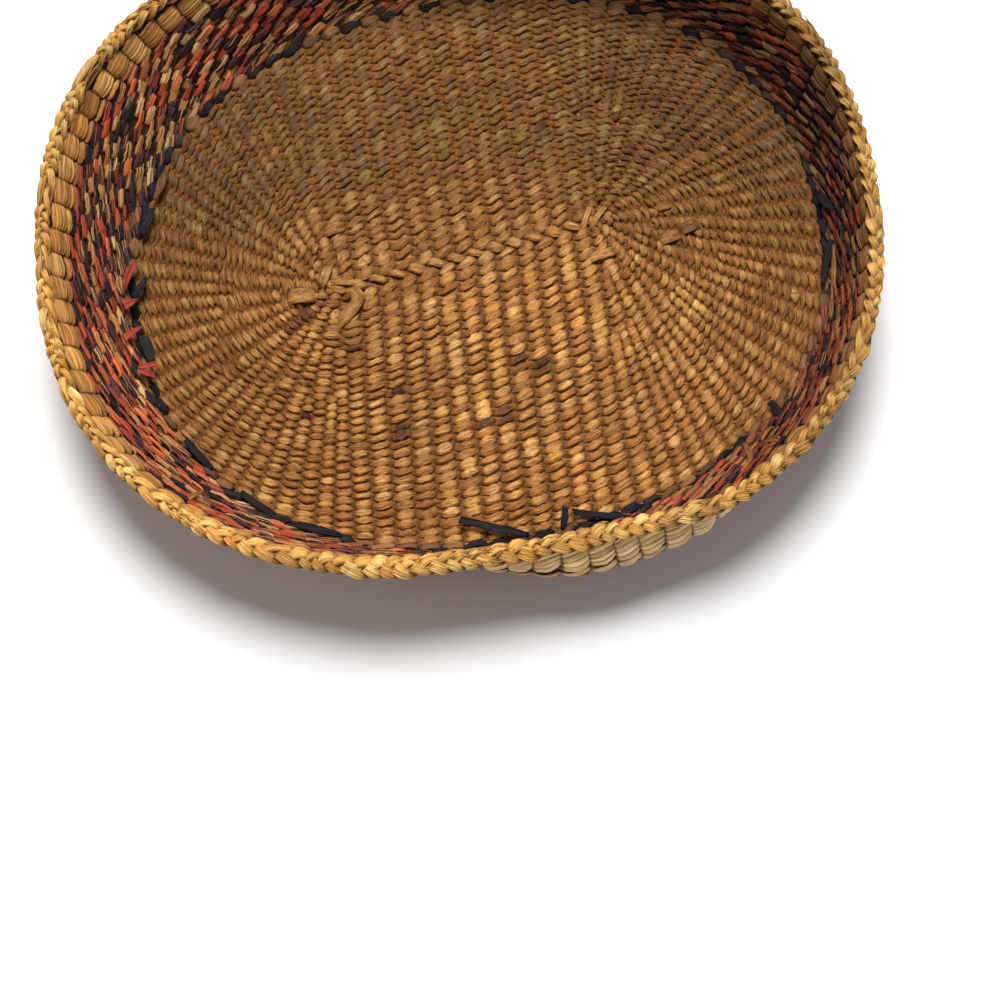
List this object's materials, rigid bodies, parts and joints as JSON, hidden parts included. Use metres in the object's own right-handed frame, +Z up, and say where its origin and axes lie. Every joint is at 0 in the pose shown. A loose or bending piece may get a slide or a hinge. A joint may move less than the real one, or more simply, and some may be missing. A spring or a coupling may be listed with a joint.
{
  "type": "oval twined tray basket",
  "caption": "Shallow oval woven tray basket with a straw base, a dyed sloping wall and a braided rim, for holding small things on a table.",
  "frame": {"origin": "centre of the rim's box, on the surface that the basket stands on", "axes": "+X along the rim's long axis, +Z up, -Y towards the near long side"},
  "size_m": [0.288, 0.244, 0.042],
  "materials": {
    "straw": "dry satin grass",
    "stake_stem": "matt stem",
    "dark_weft": "dyed black, matt",
    "dyed_weft": "dyed red and brown, satin",
    "border_weft": "dry satin grass",
    "rim_braid": "golden fibrous straw"
  },
  "bodies": {
    "root": {"starter_strip": "straw", "right_hub_stitch": "straw", "left_hub_stitch": "straw", "base_row_01": "straw", "base_row_02": "straw", "base_row_03": "straw", "base_row_04": "straw", "base_row_05": "straw", "base_row_06": "straw", "base_row_07": "straw", "base_row_08": "straw", "base_row_09": "straw", "base_row_10": "straw", "base_row_11": "straw", "base_row_12": "straw", "base_row_13": "straw", "base_row_14": "straw", "base_row_15": "straw", "dark_turn_row": "dark_weft", "dyed_row_01": "dyed_weft", "dyed_row_02": "dyed_weft", "dyed_row_03": "dyed_weft", "dyed_row_04": "dyed_weft", "border_row_01": "border_weft", "border_row_02": "border_weft", "braid_strand_1": "rim_braid", "braid_strand_2": "rim_braid", "braid_strand_3": "rim_braid", "cross_stake_01": "stake_stem", "cross_stake_02": "stake_stem", "cross_stake_03": "stake_stem", "cross_stake_04": "stake_stem", "cross_stake_05": "stake_stem", "cross_stake_06": "stake_stem", "right_hub_stake": "stake_stem", "left_hub_stake": "stake_stem", "right_fan_stake_1": "stake_stem", "right_fan_stake_2": "stake_stem", "right_fan_stake_3": "stake_stem", "left_fan_stake_1": "stake_stem", "left_fan_stake_2": "stake_stem", "left_fan_stake_3": "stake_stem", "right_folded_stake_1": "stake_stem", "right_folded_stake_2": "stake_stem", "right_folded_stake_3": "stake_stem", "right_folded_stake_4": "stake_stem", "right_folded_stake_5": "stake_stem", "right_folded_stake_6": "stake_stem", "left_folded_stake_1": "stake_stem", "left_folded_stake_2": "stake_stem", "left_folded_stake_3": "stake_stem", "left_folded_stake_4": "stake_stem", "left_folded_stake_5": "stake_stem", "left_folded_stake_6": "stake_stem"}
  },
  "joints": []
}
